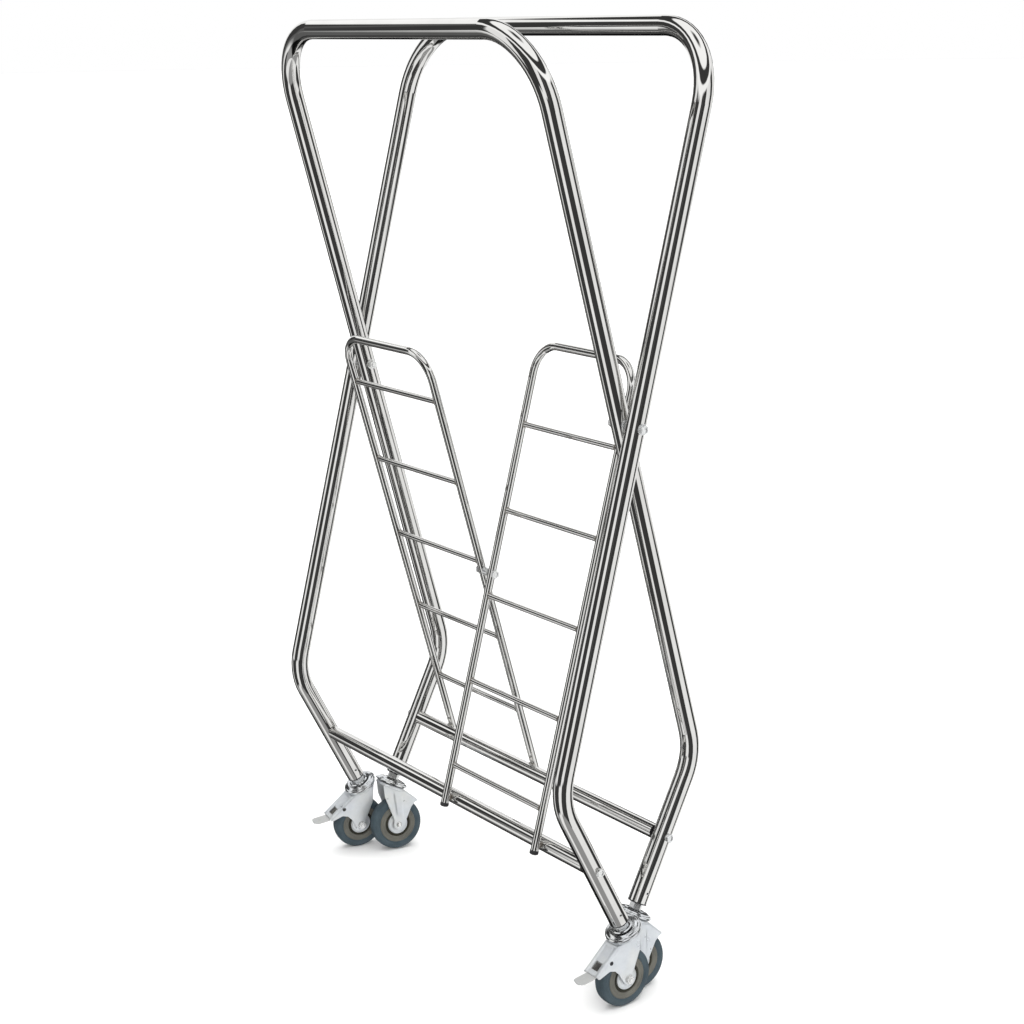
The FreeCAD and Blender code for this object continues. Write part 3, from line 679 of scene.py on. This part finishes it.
def lever_plate(name):
    """The bent plate of the foot lever, with rolled edges and a rounded end."""
    y0, z0 = BRAKE
    bend, step = 12.0, 1.2
    spine = rounded([(y0 - 2, z0 - 0.1), (y0 - 33.2, z0 - 5.7), (y0 - 61.4, z0 + 4.4)], bend,
                    closed=False, steps=8)
    points = []
    for (ya, za), (yb, zb) in zip(spine, spine[1:]):
        steps = max(1, int(math.hypot(yb - ya, zb - za) / step))
        points += [(ya + (yb - ya) * k / steps, za + (zb - za) * k / steps) for k in range(steps)]
    points.append(spine[-1])
    tip = points[-1]
    full_half, corner, roll_start, roll_depth = 12.9, 7.5, 0.85, 1.1
    columns = [-1.0, -0.97, -0.92, -0.85, -0.6, -0.3, 0.0, 0.3, 0.6, 0.85, 0.92, 0.97, 1.0]
    rows = []
    for y, z in points:
        near = min(math.hypot(y - tip[0], z - tip[1]), corner)
        half = full_half - corner + math.sqrt(max(corner**2 - (corner - near) ** 2, 0.0))
        row = []
        for c in columns:
            rolled = max(0.0, (abs(c) - roll_start) / (1 - roll_start))
            row.append((c * half, y, z + 1.3 - roll_depth * rolled**2))
        rows.append(row)
    place = caster_frame(name)
    return thicken(grid(name + "_lever_plate", rows, place), 2.4, (0, y0 - 30, z0 - 30), place)


def pedal(name):
    """The foot lever: its plate, the stud pressed up from it and the barrel it turns on."""
    y0, z0 = BRAKE
    stud_spot = Matrix.Translation(Vector((0, y0 - 46.5, z0 + 0.35)) * MM)
    lean = Matrix.Rotation(-math.atan2(10.1, 28.2), 4, "X")
    stud = lathe(name + "_lever_stud", [(0.0, 0.75), (2.2, 0.7), (3.0, 0.25), (4.6, 0.2), (5.6, -0.6)],
                 caster_frame(name) @ stud_spot @ lean, closed=False, segments=32)
    bore, rim, half = 2.05, 3.4, 12.8
    barrel = rounded([(bore, -half), (rim, -half), (rim, half), (bore, half)], 0.3)
    barrel = lathe(name + "_lever_barrel", barrel, brake_frame(name), segments=32)
    obj = joined(name + "_lever", lever_plate(name), barrel, stud)
    piece(obj, name + "_pedal", PEDAL, "pedal_grey", name + "_pedal")


def shoe(name):
    """The rubber block under the lever, its sole cut by cross grooves."""
    y0, z0 = BRAKE
    teeth, groove = 5, 1.0
    low = []
    for k in range(teeth):
        for part, depth in ((0.1, 0.0), (0.7, 0.0), (0.75, groove), (0.95, groove)):
            along = (k + part) / teeth
            low.append((y0 - 12.2 - 17.6 * along, z0 - 6.3 - 7.5 * along + depth))
    outline = [(y0 - 30.6, z0 - 7.9), (y0 - 11.4, z0 - 2.9)] + low
    obj = extruded(name + "_brake_shoe", outline, 9.8, caster_frame(name), 0.25)
    piece(obj, name + "_pedal", BLACK, "brake_rubber", name + "_shoe")


def lever_pad(name):
    """The dark pad on the lever under the roof's window, with two crossed ribs."""
    y0, z0 = BRAKE
    place = caster_frame(name) @ Matrix.Translation(Vector((0, y0 - 17.0, z0 - 1.5)) * MM)
    place = place @ Matrix.Rotation(math.atan2(5.6, 31.2), 4, "X")
    pad = [(-6.9, -0.2), (6.9, -0.2), (6.9, 0.5), (-6.9, 0.5)]
    parts = [extruded(name + "_pad", pad, 7.4, place, 0.15)]
    for angle in (42, -42):
        tilt = place @ Matrix.Rotation(math.radians(angle), 4, "Z")
        rib = [(-6.6, 0.4), (6.6, 0.4), (6.0, 1.2), (-6.0, 1.2)]
        parts.append(extruded("%s_rib_%d" % (name, angle > 0), rib, 0.8, tilt, 0.2))
    obj = joined(name + "_lever_pad", *parts)
    piece(obj, name + "_pedal", DARK, "pedal_grey")


def caster(name):
    swivel_head(name)
    fork(name)
    wheel(name)
    axle(name)
    if is_braked(name):
        brake_pin(name)
        lever_pad(name)
        pedal(name)
        shoe(name)


# ---------------------------------------------------------------- bolts


def hex_bolt(name, body, replaced, start, end):
    """A hex bolt: its head beyond start, its shank running to end."""
    start, end = Vector(start), Vector(end)
    place = axis_frame(start, (0, 0, 1), start - end)
    length = (start - end).length / MM
    shank = [(0.0, 1.0), (BOLT_R, 1.0), (BOLT_R, -length + 0.6), (BOLT_R - 0.6, -length),
             (0.0, -length)]
    flange = [(2.0, 0.0), (6.9, 0.0), (6.9, 0.7), (2.0, 0.9)]
    crown = [(0.0, HEAD_HEIGHT + 0.02), (4.4, HEAD_HEIGHT + 0.01), (4.9, HEAD_HEIGHT - 0.3)]
    obj = joined(
        name,
        hex_prism(name + "_hex", 0.4, HEAD_HEIGHT, place),
        lathe(name + "_shank", rounded(shank, 0.2, closed=False), place, closed=False, segments=32),
        lathe(name + "_flange", rounded(flange, 0.2), place, segments=40),
        lathe(name + "_crown", crown, place, closed=False, segments=32),
    )
    piece(obj, body, BOLT, "bolt_zinc", replaced)


def hex_nut(name, body, replaced, centre, out):
    """A hex nut whose seat is at centre, with a thin rim round its bore."""
    place = axis_frame(centre, (0, 0, 1), out)
    rim = [(4.1, NUT_HEIGHT - 0.2), (5.4, NUT_HEIGHT - 0.2), (5.2, NUT_HEIGHT + 0.15),
           (4.1, NUT_HEIGHT + 0.15)]
    obj = joined(
        name,
        hex_prism(name + "_hex", 0.0, NUT_HEIGHT, place),
        lathe(name + "_rim", rounded(rim, 0.1), place, segments=32),
    )
    piece(obj, body, BOLT, "bolt_zinc", replaced)


def frame_bolts():
    """The hoop pivot bolts, the crossbar bolts and the bolt between the racks."""
    sides = (("left", Vector((-1, 0, 0))), ("right", Vector((1, 0, 0))))
    pivot = Vector(joints["fold"]["pos_m"])
    washer, past_nut = 0.0018, 0.009
    face = OUTER_LEG_X + TUBE_R + washer
    seat = INNER_LEG_X - TUBE_R - washer
    for tag, out in sides:
        hex_bolt("pivot_bolt_" + tag, "hoop_pivots", "pivot_bolts",
                 pivot + out * face, pivot + out * (seat - past_nut))
        hex_nut("pivot_nut_" + tag, "hoop_pivots", "pivot_nuts", pivot + out * seat, -out)
    for prefix, leg_x in (("front", OUTER_LEG_X), ("rear", INNER_LEG_X)):
        axis = Vector(joints[prefix + "_rack_fold"]["pos_m"])
        face = leg_x + TUBE_R + 0.0003
        tip = leg_x - TUBE_R - 0.017
        for tag, out in sides:
            hex_bolt("%s_crossbar_bolt_%s" % (prefix, tag), prefix + "_rack",
                     prefix + "_rack_crossbar_bolts", axis + out * face, axis + out * tip)
    head = HEAD_HEIGHT * MM
    low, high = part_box("rack_bolt")
    middle = (low + high) / 2
    hex_bolt("rack_bolt_head", "rear_rack", "rack_bolt",
             (low.x + head, middle.y, middle.z), (high.x, middle.y, middle.z))
    low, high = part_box("rack_bolt_nut")
    hex_bolt("rack_bolt_far_head", "front_rack", "rack_bolt_nut",
             (high.x - head, middle.y, middle.z), (low.x, middle.y, middle.z))


# ---------------------------------------------------------------- racks


def rack_line(prefix):
    """A rack's direction away from its crossbar, its first rung's place and its rungs' run."""
    points = [v.co for v in nodes[prefix + "_rack_rungs"].data.vertices]
    lowest = min(p.z for p in points)
    highest = max(p.z for p in points)
    reach = 2.2 * RUNG_R
    low_ring = [p for p in points if p.z - lowest < reach]
    high_ring = [p for p in points if highest - p.z < reach]
    foot = sum(low_ring, Vector()) / len(low_ring)
    head = sum(high_ring, Vector()) / len(high_ring)
    run = head - foot
    return Vector((0, run.y, run.z)).normalized(), foot, run.length


def rail_plugs(prefix):
    """Rubber caps on the feet of a rack's rails, a little wider than the tube."""
    up = rack_line(prefix)[0]
    points = [v.co.copy() for v in nodes[prefix + "_rack_plugs"].data.vertices]
    middle_x = sum(p.x for p in points) / len(points)
    profile = [(0.0, 0.3), (5.6, 0.3), (7.5, 1.6), (7.5, 6.6), (7.05, 7.2), (7.05, 7.6), (5.4, 7.6),
               (5.4, 12.0), (0.0, 12.0)]
    cap_height = 0.0029
    for tag, mark in (("left", -1), ("right", 1)):
        own = [p for p in points if (p.x - middle_x) * mark > 0]
        lowest = min(own, key=lambda p: p.z)
        cap = [p for p in own if (p - lowest).dot(up) < cap_height]
        base = sum(cap, Vector()) / len(cap)
        base.x = (min(p.x for p in own) + max(p.x for p in own)) / 2
        base += up * min((p - base).dot(up) for p in own)
        obj = lathe("%s_rail_cap_%s" % (prefix, tag), rounded(profile, 1.0, closed=False, steps=4),
                    axis_frame(base, (1, 0, 0), up), closed=False, segments=40)
        piece(obj, prefix + "_rack", BLACK, "plug_rubber", prefix + "_rack_plugs")


def bead_ring(major, minor, place, seed):
    """Verts and faces of a lumpy ring of weld round a rung's end."""
    draw = random.Random(seed)
    around, across = 28, 8
    verts, faces = [], []
    phase = draw.random() * 6
    for i in range(around):
        a = 2 * math.pi * i / around
        swell = minor * (1 + 0.16 * math.sin(9 * a + phase) + 0.10 * draw.random())
        for j in range(across):
            b = 2 * math.pi * j / across
            r = major + swell * math.cos(b)
            point = Vector((r * math.cos(a), r * math.sin(a), swell * math.sin(b) * 0.8)) * MM
            verts.append(place @ point)
    for i in range(around):
        here, ahead = i * across, (i + 1) % around * across
        for j in range(across):
            k = (j + 1) % across
            faces.append((here + j, ahead + j, ahead + k, here + k))
    return verts, faces


def saddle(place, length, width, height, seed):
    """Verts and faces of a short weld bead along the frame's Z."""
    draw = random.Random(seed)
    around, along = 12, 18
    verts, faces = [], []
    for i in range(along + 1):
        t = -1 + 2 * i / along
        swell = math.sqrt(max(1 - t * t, 0.0)) * (1 + 0.12 * math.sin(22 * t) + 0.06 * draw.random())
        for j in range(around):
            b = 2 * math.pi * j / around
            point = Vector((width * swell * math.cos(b), height * swell * math.sin(b), length * t))
            verts.append(place @ (point * MM))
    for i in range(along):
        here, ahead = i * around, (i + 1) * around
        for j in range(around):
            k = (j + 1) % around
            faces.append((here + j, here + k, ahead + k, ahead + j))
    return verts, faces


def gathered(name, chunks):
    """One mesh object out of lists of vertices and faces in metres."""
    verts, faces = [], []
    for some_verts, some_faces in chunks:
        start = len(verts)
        verts += some_verts
        faces += [tuple(i + start for i in face) for face in some_faces]
    return face_outwards(add_mesh(name, verts, faces, scale=1.0))


def rack_welds(prefix):
    """Weld beads where the rungs meet the rails and the rails meet the crossbar; the dark beads beside
    the rails on the crossbar are partly painted contact shadow.
    """
    up, first, run = rack_line(prefix)
    low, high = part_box(prefix + "_rack_rails")
    axis = Vector(joints[prefix + "_rack_fold"]["pos_m"])
    seed = 11 if prefix == "front" else 47
    sunk, bead_out, bead_apart = 0.0001, 0.0012, 0.0046
    chunks = []
    for k in range(RUNGS):
        spot = first + up * (run * k / (RUNGS - 1))
        for mark, edge in ((1, low.x), (-1, high.x)):
            x = edge + mark * (2 * RAIL_R - sunk)
            place = axis_frame((x, spot.y, spot.z), up, (1, 0, 0))
            chunks.append(bead_ring(5.1, 0.9, place, seed + k * 2 + mark))
    lap = (first - axis) - up * (first - axis).dot(up)
    toward = Vector((0, lap.y, lap.z)).normalized()
    # dark beads beside each rail on the crossbar: partly painted contact shadow of the rail
    for rail_x in (low.x + RAIL_R, high.x - RAIL_R):
        for mark in (-1, 1):
            spot = axis + toward * (CROSSBAR_R + bead_out)
            spot.x = rail_x + mark * bead_apart
            place = axis_frame(spot, (1, 0, 0), up)
            chunks.append(saddle(place, 5.2, 2.3, 2.0, seed + 90 + mark))
    piece(gathered(prefix + "_rack_welds", chunks), prefix + "_rack", WELD, "steel_tube")


# ---------------------------------------------------------------- hoops


def on_tube(name, rings, place, close):
    """Rings of (radius, height) laid on a leg's surface; X out of the tube, Z along it."""
    around, tube = 32, TUBE_R / MM
    verts = [(tube + rings[0][1], 0, 0)] if close else []
    start = len(verts)
    for radius, height in rings:
        for k in range(around):
            a = 2 * math.pi * k / around
            turn = radius * math.cos(a) / tube
            out = tube + height
            verts.append((out * math.cos(turn), out * math.sin(turn), radius * math.sin(a)))
    faces = [(0, 1 + (k + 1) % around, 1 + k) for k in range(around)] if close else []
    for row in range(len(rings) - 1):
        here = start + row * around
        for k in range(around):
            i, j = here + k, here + (k + 1) % around
            faces.append((i, j, j + around, i + around))
    return face_outwards(add_mesh(name, verts, faces, place))


def leg_pins(name):
    """Each leg's cross hole near its end: a raised steel lip round a dark plug."""
    place = caster_frame(name)
    up = place.to_3x3() @ Vector((0, 0, 1))
    spot = place.translation + up * LEG_HOLE_UP
    lip_rings = [(1.9, 0.05), (2.1, 0.22), (2.6, 0.24), (3.1, 0.12), (3.3, -0.2)]
    plug_rings = [(1.2, 0.06), (2.2, 0.06)]
    for tag, mark in (("in", -1), ("out", 1)):
        lay = axis_frame(spot, (mark, 0, 0), up)
        lip = on_tube("%s_leg_lip_%s" % (name, tag), lip_rings, lay, False)
        piece(lip, hoop_of(name), BOLT, "steel_tube")
        plug = on_tube("%s_leg_hole_%s" % (name, tag), plug_rings, lay, True)
        piece(plug, hoop_of(name), BLACK, "insert_black")


# ---------------------------------------------------------------- stage, light and camera


def disc_ring(radius, height, count):
    """Evenly spaced points of a level circle."""
    angles = [2 * math.pi * k / count for k in range(count)]
    return [(radius * math.cos(a), radius * math.sin(a), height) for a in angles]


def pale_floor():
    """Nearly white paint with slow, faint patches."""
    look = Look("pale_floor")
    patch = look.noise(0.6, 2)
    base = (0.93, 0.93, 0.925)
    look.color(look.mix(look.spread(patch, 0, 1), base, tuple(c * 1.02 for c in base)))
    look.set(Roughness=0.6)
    return look.material


def backdrop_glow():
    look = Look("backdrop_glow")
    look.set(Base_Color=(0, 0, 0, 1), Emission_Color=(1, 1, 1, 1), Emission_Strength=1.0)
    look.set(Specular_IOR_Level=0.0)
    return look.material


def floor():
    """A wide pale floor with a plain bright wall round its edge; no metal mirrors them."""
    count, reach, wall_height = 96, 60.0, 25.0
    low_ring = disc_ring(reach, 0, count)
    wall_faces = [(k, (k + 1) % count, count + (k + 1) % count, count + k) for k in range(count)]
    shapes = (
        ("floor", low_ring, [tuple(range(count))], pale_floor()),
        ("backdrop", low_ring + disc_ring(reach, wall_height, count), wall_faces, backdrop_glow()),
    )
    for name, verts, faces, material in shapes:
        mesh = bpy.data.meshes.new(name)
        mesh.from_pydata(verts, [], faces)
        mesh.materials.append(material)
        obj = bpy.data.objects.new(name, mesh)
        bpy.context.scene.collection.objects.link(obj)
        obj.visible_glossy = False
        if name == "backdrop":
            obj.visible_diffuse = False
            obj.visible_shadow = False


# The room that the metal mirrors: evenly spaced upright strip lights with dark gaps, in
# bands by the height of the mirrored direction, and level rings of light overhead.
STRIP_LIGHT, GAP_LIGHT = 0.85, 0.04
STRIP_BANDS = (  # (where the band starts, strips round the room, dark level)
    (-1.00, 3, 0.30),
    (-0.68, 4, GAP_LIGHT),
    (-0.15, 5, GAP_LIGHT),
)
RINGS_FROM, RING_RATE = 0.45, 16.0
BAND_BLEND = 0.05
DIM_SIDE = math.radians(170)


def world():
    """A studio of bright and dark upright strips, dim on one side, with rings overhead."""
    made = bpy.data.worlds.new("studio")
    made.use_nodes = True
    bpy.context.scene.world = made
    tree = made.node_tree

    def math_node(operation, *values):
        made_node = add_node(tree, "ShaderNodeMath", operation=operation)
        for socket, value in zip(made_node.inputs, values):
            if isinstance(value, (int, float)):
                socket.default_value = value
            else:
                tree.links.new(value, socket)
        return made_node.outputs[0]

    split = add_node(tree, "ShaderNodeSeparateXYZ")
    tree.links.new(add_node(tree, "ShaderNodeTexCoord").outputs["Generated"], split.inputs[0])
    height = split.outputs["Z"]
    compass = math_node("ARCTAN2", split.outputs["Y"], split.outputs["X"])

    def strips(count, dark):
        """Brightness round the room: wide strips with finer ones between them."""
        wide = math_node("SINE", math_node("MULTIPLY", compass, count))
        fine = math_node("SINE", math_node("MULTIPLY", compass, 2 * count + 1))
        waves = math_node("ADD", wide, math_node("MULTIPLY", fine, 0.6))
        return map_range(tree, waves, dark, STRIP_LIGHT, -0.25, 0.25, interpolation_type="SMOOTHSTEP")

    def above(start, low_look, high_look):
        """One look below a height and another above it."""
        share = map_range(tree, height, 0.0, 1.0, start - BAND_BLEND / 2, start + BAND_BLEND / 2)
        rise = math_node("MULTIPLY", share, math_node("SUBTRACT", high_look, low_look))
        return math_node("ADD", low_look, rise)

    off_side = math_node("COSINE", math_node("SUBTRACT", compass, DIM_SIDE))
    dim = map_range(tree, off_side, 1.0, 0.12, 0.70, 0.80)
    looks = strips(*STRIP_BANDS[0][1:])
    for start, count, dark in STRIP_BANDS[1:]:
        looks = math_node("MULTIPLY", looks, dim)
        looks = above(start, looks, strips(count, dark))
    rings = math_node("SINE", math_node("MULTIPLY", height, RING_RATE))
    looks = above(RINGS_FROM, looks, map_range(tree, rings, GAP_LIGHT, 1.0, -0.2, 0.2))
    background = tree.nodes["Background"]
    tree.links.new(looks, background.inputs["Color"])
    background.inputs["Strength"].default_value = 1.2


def studio():
    """Soft even light that isn't mirrored, so that metal mirrors only the room."""
    floor()
    world()
    for name, strength, wide, turn in (
        ("overhead", 2.2, 70, (0, 0, 0)),
        ("side", 1.5, 50, (58, 0, 62)),
    ):
        data = bpy.data.lights.new(name, "SUN")
        data.energy = strength
        data.angle = math.radians(wide)
        obj = bpy.data.objects.new(name, data)
        obj.rotation_euler = [math.radians(angle) for angle in turn]
        bpy.context.scene.collection.objects.link(obj)
        obj.visible_glossy = False


CAMERA_YAW, CAMERA_PITCH, CAMERA_ROLL = 53.8256, 14.1538, -0.8494
CAMERA_SPOT = (2.665487, -1.891916)
CAMERA_ABOVE_PIVOT = 0.613693
CAMERA_LENS = 69.377


def camera():
    """A camera at the fitted place, looking down and across at the cart's right front."""
    yaw, pitch, roll = (math.radians(v) for v in (CAMERA_YAW, CAMERA_PITCH, CAMERA_ROLL))
    back = Vector((math.sin(yaw) * math.cos(pitch), -math.cos(yaw) * math.cos(pitch), math.sin(pitch)))
    right = Vector((math.cos(yaw), math.sin(yaw), 0))
    up = right.cross(-back)
    tilted_right = right * math.cos(roll) + up * math.sin(roll)
    tilted_up = up * math.cos(roll) - right * math.sin(roll)
    data = bpy.data.cameras.new("camera")
    data.lens = CAMERA_LENS
    data.sensor_width = 36.0
    data.clip_end = 200.0
    obj = bpy.data.objects.new("camera", data)
    matrix = Matrix((tilted_right, tilted_up, back)).transposed().to_4x4()
    height = joints["fold"]["pos_m"][2] + CAMERA_ABOVE_PIVOT
    matrix.translation = Vector((*CAMERA_SPOT, height))
    obj.matrix_world = matrix
    bpy.context.scene.collection.objects.link(obj)
    bpy.context.scene.camera = obj


# ---------------------------------------------------------------- the scene

dress_nodes()
for caster_name in CASTERS:
    caster(caster_name)
    leg_pins(caster_name)
frame_bolts()
for side_name in ("front", "rear"):
    rail_plugs(side_name)
    rack_welds(side_name)
studio()
camera()
bpy.context.scene.view_settings.view_transform = "Standard"
